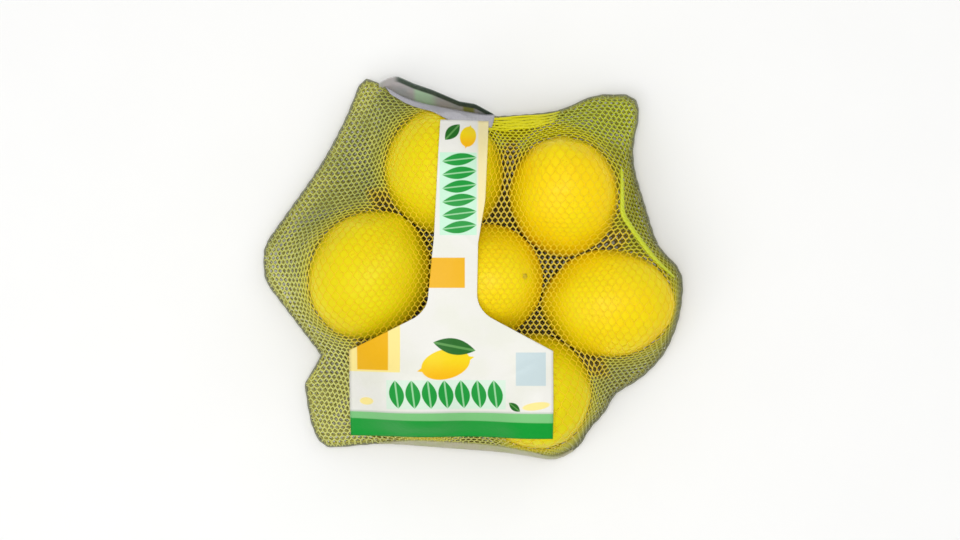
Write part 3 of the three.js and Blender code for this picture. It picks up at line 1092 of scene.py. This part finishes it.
def ribbon(span, widths, ends, proud, lift, thickness):
    """A ribbed sheet on the net's edge. widths are how far it reaches in from its outer rim, to
    the left and to the right of the taper, ends is the length over which it narrows at either
    end, proud is how far its rim stands past the outline, and lift how far it is off the net."""
    turns = np.radians(np.arange(*span, RIBBON_STEP))
    x, y, _ = outline_point(turns, 0)
    length = np.cumsum(np.hypot(np.gradient(x), np.gradient(y)))
    rib = RIBBON_RIB * np.cos(2 * math.pi * length / RIBBON_PITCH)
    reach = widths[0] + (widths[1] - widths[0]) * smoothstep(x, *TAPER)
    full = smoothstep(np.minimum(length, length[-1] - length), 0, ends)
    reach = reach * (END_SHARE + (1 - END_SHARE) * full)
    rows = []
    for share in np.linspace(1, 0, RIBBON_ROWS):
        inset = share * reach - proud
        x, y, z = outline_point(turns, inset)
        z = z + (over_net(x, y) + lift - z) * smoothstep(inset, -proud, 1 - proud)
        rows.append(np.column_stack([x, y, z + rib]))
    return sheet(np.stack(rows), thickness)


def weld_finish():
    finish = Finish("weld", {})
    place = finish.place()
    slow = finish.patches(place, 0.12)
    fine = finish.noise(place, 1.5)
    dull = finish.mix(slow, (0.36, 0.37, 0.16), (0.42, 0.38, 0.27))
    finish.feed("Base Color", finish.mix(fine * 0.5, dull, (0.50, 0.52, 0.30)))
    finish.feed("Roughness", 0.35 + 0.25 * fine)
    finish.bump(fine, 0.12)
    return finish.material


points, faces, flat = ribbon(**WELD)
make_piece("weld_low", points, faces, weld_finish(), "net", "net_bag", flat=flat)

# %% [markdown]
# ## The label
#
# The label is a thin printed film: a broad body low on the front, and a narrow strip that runs up
# from its shoulders. It is laid out as rows from side to side, so that both its edges stay crisp.
# It lies just off the net and bridges the dips as film does. A few soft creases run over it.

# %% The label's edges
LABEL_LEFT = -64.6
LABEL_RIGHT = 40.2
LABEL_BOTTOM = -88.0
SHOULDER = -43.0
NECK = -22.5
STRIP = 24.8
STRIP_FOOT = -11.0
STRIP_HEAD = -5.0
STRIP_BENDS = {-1: ((-20.6, 15.0),), 1: ((1.9, 12.0), (5.6, 34.0))}
LABEL_TOP = 75.4
FILLET = 9.0
FILLET_STEPS = 9


def label_edge(side, body):
    """Heights up the label and the edge's place at each, for the left (-1) or right (1) edge."""
    foot = STRIP_FOOT + side * STRIP / 2
    head = STRIP_HEAD + side * STRIP / 2
    corners = [(body, LABEL_BOTTOM), (body, SHOULDER)]
    for way in np.linspace(0, 1, FILLET_STEPS):
        x = foot + side * FILLET * (1 - way) ** 2
        y = NECK - FILLET / 2 * (1 - way) ** 2 + FILLET * way**2
        corners.append((x, y))
    return np.array([*corners, *STRIP_BENDS[side], (head, LABEL_TOP)])


label_left = label_edge(-1, LABEL_LEFT)
label_right = label_edge(1, LABEL_RIGHT)
print("label", LABEL_RIGHT - LABEL_LEFT, "mm wide and", LABEL_TOP - LABEL_BOTTOM, "mm high")

# %% The label's sheet
LABEL_ROWS = 130
LABEL_COLUMNS = 64
LABEL_LIFT = 0.35
LABEL_THICK = 0.25
BILLOW = 0.35  # how far slow waves lift and lower the film
CREASES = (
    (-60, -47, -20, -60, 0.35),
    (36, -46, 5, -62, 0.4),
    (-14, -30, 2, -52, 0.3),
    (-12, 20, 4, 8, 0.3),
)
CREASE_WIDTH = 1.3


def crease_height(x, y):
    """Each crease is a straight ridge that fades towards its ends."""
    height = BILLOW * np.sin(x * 0.11 + 0.5 * np.sin(y * 0.05)) * np.sin(y * 0.07 + 1.0)
    for x0, y0, x1, y1, rise in CREASES:
        length = math.hypot(x1 - x0, y1 - y0)
        along = ((x - x0) * (x1 - x0) + (y - y0) * (y1 - y0)) / length**2
        across = ((x - x0) * (y1 - y0) - (y - y0) * (x1 - x0)) / length
        fade = np.clip(4 * along * (1 - along), 0, 1)
        height = height + rise * fade * np.exp(-((across / CREASE_WIDTH) ** 2))
    return height


def add_label(finish):
    ys = np.sort(np.append(np.linspace(LABEL_BOTTOM, LABEL_TOP, LABEL_ROWS), SHOULDER))[:, None]
    left = np.interp(ys, label_left[:, 1], label_left[:, 0])
    right = np.interp(ys, label_right[:, 1], label_right[:, 0])
    x = left + (right - left) * np.linspace(0, 1, LABEL_COLUMNS)[None, :]
    y = np.broadcast_to(ys, x.shape)
    z = cover.at(x, y) + LABEL_LIFT + crease_height(x, y)
    points, faces, flat = sheet(np.stack([x, y, z], -1), LABEL_THICK)
    marks = {"under": np.repeat((0.0, 1.0), x.size)}
    make_piece("label", points, faces, finish, "label_film", "front_label", marks, flat)


print("the sheet has", LABEL_ROWS + 1, "rows of", LABEL_COLUMNS, "points")

# %% [markdown]
# The print is a handful of plain shapes. Each one is a mask, worked out from a point's place in
# millimetres: an upright field, a pointed leaf between two arcs, an oval. The print is generic:
# a lemon with its leaf, rows of leaves, fields of colour, and no words at all.

# %% Shapes for printing
PRINT_EDGE = 0.4  # millimetres over which one colour gives way to the next


def field(finish, x, y, left, right, bottom, top):
    across = finish.ease(x, left, left + PRINT_EDGE) * finish.ease(x, right, right - PRINT_EDGE)
    up = finish.ease(y, bottom, bottom + PRINT_EDGE) * finish.ease(y, top, top - PRINT_EDGE)
    return across * up


def turned(x, y, middle, degrees):
    """How far a point lies along and across an axis through middle."""
    cos = math.cos(math.radians(degrees))
    sin = math.sin(math.radians(degrees))
    x = x - middle[0]
    y = y - middle[1]
    return x * cos + y * sin, y * cos - x * sin


def leaf(finish, along, across, length, width):
    share = along * (2 / length)
    reach = (1 - share * share) * (width / 2)
    return finish.ease(reach - across.size(), 0, PRINT_EDGE)


def oval(finish, along, across, length, width):
    along = along * (2 / length)
    across = across * (2 / width)
    return finish.ease(1 - along * along - across * across, 0, 4 * PRINT_EDGE / width)


def vein(finish, across, width):
    """A thin light line down the middle of a leaf."""
    return finish.ease(across.size(), width, width / 2)


print("fields, leaves and ovals can be printed")

# %% [markdown]
# The body of the label carries a lemon under its leaf, a row of upright leaves, an amber field
# at the left, a pale block at the right, two small motifs and two green bands at the foot.

# %% Printing the body
WHITE = (0.78, 0.78, 0.70)
CREAM = (0.92, 0.77, 0.28)
AMBER = (0.82, 0.44, 0.006)
MINT = (0.56, 0.84, 0.64)
WORD_GREEN = (0.010, 0.30, 0.04)
LEAF_GREEN = (0.012, 0.13, 0.010)
LIGHT_GREEN = (0.20, 0.55, 0.20)
DARK_GREEN = (0.001, 0.32, 0.03)
PRINT_YELLOW = (0.86, 0.64, 0.001)
PRINT_ORANGE = (0.88, 0.46, 0.001)
PALE_BLUE = (0.55, 0.66, 0.68)
FOOT_GREY = (0.58, 0.62, 0.54)
LEAF_VEIN = (0.10, 0.30, 0.07)
ROW_VEIN = (0.30, 0.62, 0.32)
ROW_LEAN = 0.12  # how far the leaves of a row lean, for each millimetre of their height


def print_lemon(finish, colour, x, y, middle, turn, length, width):
    """A plain lemon: an oval body, and a long thin leaf form for its two points."""
    along, across = turned(x, y, middle, turn)
    body = oval(finish, along, across, length * 0.84, width)
    points = leaf(finish, along, across, length, width * 0.45)
    low = finish.ease(y, middle[1] + width / 4, middle[1] - width / 2)
    skin = finish.mix(low, PRINT_YELLOW, PRINT_ORANGE)
    return finish.mix(body, finish.mix(points, colour, skin), skin)


def print_leaf(finish, colour, x, y, middle, turn, length, width):
    along, across = turned(x, y, middle, turn)
    blade = finish.mix(vein(finish, across, width / 11), LEAF_GREEN, LEAF_VEIN)
    return finish.mix(leaf(finish, along, across, length, width), colour, blade)


def print_leaf_row(finish, colour, along, across, length, count, height):
    """A row of leaves that stand side by side."""
    pitch = length / count
    inside = finish.ease(along.size(), length / 2, length / 2 - PRINT_EDGE)
    first = pitch / 2 * (count % 2 == 0)
    local = (along + across * ROW_LEAN + first).wrapped(-pitch / 2, pitch / 2)
    shape = leaf(finish, across, local, height, pitch * 0.96)
    blade = finish.mix(vein(finish, local, pitch * 0.07), WORD_GREEN, ROW_VEIN)
    return finish.mix(shape * inside, colour, blade)


def print_body(finish, colour, x, y):
    colour = finish.mix(field(finish, x, y, -66, -37.7, -54, -20), colour, CREAM)
    colour = finish.mix(field(finish, x, y, -60.6, -43.9, -53, -20), colour, AMBER)
    colour = finish.mix(field(finish, x, y, -45.2, 16.2, -73.0, -57.6) * 0.55, colour, MINT)
    colour = print_leaf_row(finish, colour, x + 14.5, y + 65.2, 58.8, 7, 15.0)
    colour = print_lemon(finish, colour, x, y, (-14.6, -49.6), 14, 31, 15.6)
    colour = print_leaf(finish, colour, x, y, (-10.2, -40.6), -11, 22.5, 8.6)
    colour = finish.mix(field(finish, x, y, 21, 36.7, -60.8, -43.5), colour, PALE_BLUE)
    along, across = turned(x, y, (-55.6, -69.1), 0)
    colour = finish.mix(oval(finish, along, across, 8, 4.4), colour, CREAM)
    along, across = turned(x, y, (31.5, -71.0), 8)
    colour = finish.mix(oval(finish, along, across, 15.6, 4.4), colour, CREAM)
    colour = print_leaf(finish, colour, x, y, (20.5, -71.6), -38, 7.6, 4.0)
    colour = finish.mix(finish.ease(y, -73.6, -74.6), colour, FOOT_GREY)
    colour = finish.mix(finish.ease(y, -74.6, -75.2), colour, LIGHT_GREEN)
    return finish.mix(finish.ease(y + x * 0.012, -78.9, -79.6), colour, DARK_GREEN)


print("the body's inks run from", DARK_GREEN, "to", CREAM)

# %% [markdown]
# The strip carries a leaf and a lemon at its head, a tall mint field with leaves that lie one
# above the other, and an amber square. The film itself is white, a little creamier towards the
# right edge of the strip, and it has a soft gloss. Its underside shows no print.

# %% Printing the strip, and the label's finish


def print_strip(finish, colour, x, y):
    colour = finish.mix(finish.ease(x, 1.2, 2.6) * finish.ease(y, 17, 26) * 0.7, colour, CREAM)
    colour = finish.mix(field(finish, x, y, -17.8, 1.4, 16.0, 58.5), colour, MINT)
    colour = print_leaf_row(finish, colour, y - 37.5, -1 * x - 7.6, 41.4, 6, 18.2)
    colour = print_leaf(finish, colour, x, y, (-11.2, 68.9), 48, 11.5, 6.4)
    colour = print_lemon(finish, colour, x, y, (-3.2, 66.6), 78, 13.5, 8.6)
    return finish.mix(field(finish, x, y, -24, -4.6, -10.9, 4.9), colour, AMBER)


def label_finish():
    soft_gloss = {"Coat Weight": 0.03, "Coat Roughness": 0.25, "Specular IOR Level": 0.1}
    finish = Finish("label_film", soft_gloss)
    place = finish.place()
    x, y, _ = finish.axes(place)
    slow = finish.patches(place, 0.06)
    fine = finish.noise(place, 0.8)
    film = finish.mix(slow, WHITE, (0.80, 0.79, 0.74))
    colour = print_strip(finish, print_body(finish, film, x, y), x, y)
    colour = finish.mix(finish.mark("under"), colour, film)
    finish.feed("Base Color", finish.mix(fine * 0.012, colour, (0.70, 0.72, 0.66)))
    finish.feed("Roughness", 0.34 + 0.16 * fine)
    finish.bump(finish.noise(place, 0.35), 0.14)
    return finish.material


add_label(label_finish())

# %% [markdown]
# ## The film behind
#
# A strip of the same film runs behind the bag from the bottom weld to well past the top one. It
# lies flat under the fruit, then bends up behind the top edge and ends in a free hem. The rows of
# this sheet follow the same curve on both sides, with a slow wave added towards the free end.

# %% The sheet behind the bag
BACK_LEFT = -50.0
BACK_RIGHT = 10.0
CORNER_SHARE = 0.18
CORNER_DEPTH = 7.5
BACK_BOTTOM = -87.0
LIFT = (52.0, 44.0)
END = (103.6, 81.8)
RISE = (20.0, 24.5)
BEND = 2.2
SAG_AT = (0.0, 0.12, 0.3, 0.47, 0.7, 0.84, 1.0)  # places along the free end, from left to right
SAG = (0.0, 0.0, 1.0, 0.9, 1.9, 0.2, 2.0)
BACK_THICK = 0.3
BACK_MIDDLE = 0.4
BACK_ROWS = 60  # of the part that lies flat, and as many again of the part that rises
BACK_COLUMNS = 48
HEM_WAVE = 0.7


def add_back_film(finish):
    lying = np.linspace(-1, 0, BACK_ROWS, endpoint=False)
    along = np.append(lying, np.linspace(0, 1, BACK_ROWS))[:, None]
    side = np.linspace(0, 1, BACK_COLUMNS)[None, :]
    lift, end, rise = (pair[0] + (pair[1] - pair[0]) * side for pair in (LIFT, END, RISE))
    near_corner = np.clip(1 - side / CORNER_SHARE, 0, 1)
    end = end - CORNER_DEPTH * near_corner**1.5 - np.interp(side, SAG_AT, SAG)
    way = np.maximum(along, 0)
    flat_y = lift + (BACK_BOTTOM - lift) * np.maximum(-along, 0)
    y = flat_y + (end - lift) * way
    x = BACK_LEFT + (BACK_RIGHT - BACK_LEFT) * side + 0 * y
    wave = HEM_WAVE * way**3 * np.sin(9 * side + 2 * way)
    z = BACK_MIDDLE + rise * way**BEND + wave + 0 * y
    points, faces, flat = sheet(np.stack([x, y, z], -1), BACK_THICK)
    marks = {
        "under": np.repeat((0.0, 1.0), x.size),
        "hem": np.tile((way + 0 * x).ravel(), 2),
    }
    make_piece("film_behind", points, faces, finish, "back_film", "back_film", marks, flat)


print("the hem stands", round(END[0] - LIFT[0], 1), "mm past the bend at the left")

# %% [markdown]
# The free hem is white film, and its upper face is painted grey with a touch of lilac as painted
# shade. It is sage where the film is doubled, and dark green along its cut edge, which is thick
# with print and darkened further by painted shadow. The underside is milky white and has the two
# green bands at its foot. A ribbon of the same film is folded over the net's edge in front of the
# hem, and welded down, and it gets the same painted shade.

# %% The film's finish
FOLDED = {
    "span": (82.5, 116.5),
    "widths": (4.0, 7.3),
    "ends": 1.0,
    "proud": 1.3,
    "lift": 1.6,
    "thickness": BACK_THICK,
}


def back_film_finish():
    finish = Finish("back_film", {"Coat Weight": 0.15})
    place = finish.place()
    x, y, _ = finish.axes(place)
    slow = finish.patches(place, 0.09)
    fine = finish.noise(place, 0.7)
    hem = finish.mark("hem")
    # painted shade: the white film's upper face, and the folded-over ribbon, are painted
    # grey-lilac
    face = finish.mix(slow, (0.40, 0.42, 0.42), (0.48, 0.44, 0.44))
    folded = finish.ease(hem, 0.3, 0.1)
    face = finish.mix(folded, face, (0.42, 0.41, 0.46))
    sage = finish.ease(x, -33, -30) * finish.ease(x, -18, -24) * finish.ease(hem, 0.3, 0.5)
    face = finish.mix(sage, face, (0.46, 0.66, 0.44))
    olive = finish.ease(x, -7, -5) * finish.ease(x, 1, -1) * finish.ease(hem, 0.5, 0.7)
    face = finish.mix(olive, face, (0.26, 0.27, 0.03))
    # the printed dark green of the cut edge, darkened further by painted shadow
    edge = finish.ease(hem, 0.935, 0.955) * finish.ease(x, -43, -39)
    face = finish.mix(edge, face, (0.018, 0.045, 0.022))
    milky = finish.mix(slow, (0.74, 0.75, 0.73), (0.80, 0.80, 0.78))
    milky = finish.mix(finish.ease(y, -74.6, -75.2), milky, LIGHT_GREEN)
    milky = finish.mix(finish.ease(y, -81.0, -82.0), milky, DARK_GREEN)
    colour = finish.mix(finish.mark("under"), face, milky)
    finish.feed("Base Color", finish.mix(fine * 0.15, colour, (0.6, 0.6, 0.6)))
    finish.feed("Roughness", 0.3 + 0.2 * fine)
    finish.bump(finish.noise(place, 0.3), 0.3)
    return finish.material


film = back_film_finish()
add_back_film(film)
points, faces, flat = ribbon(**FOLDED)
make_piece("film_folded_over", points, faces, film, "back_film", "back_film", flat=flat)
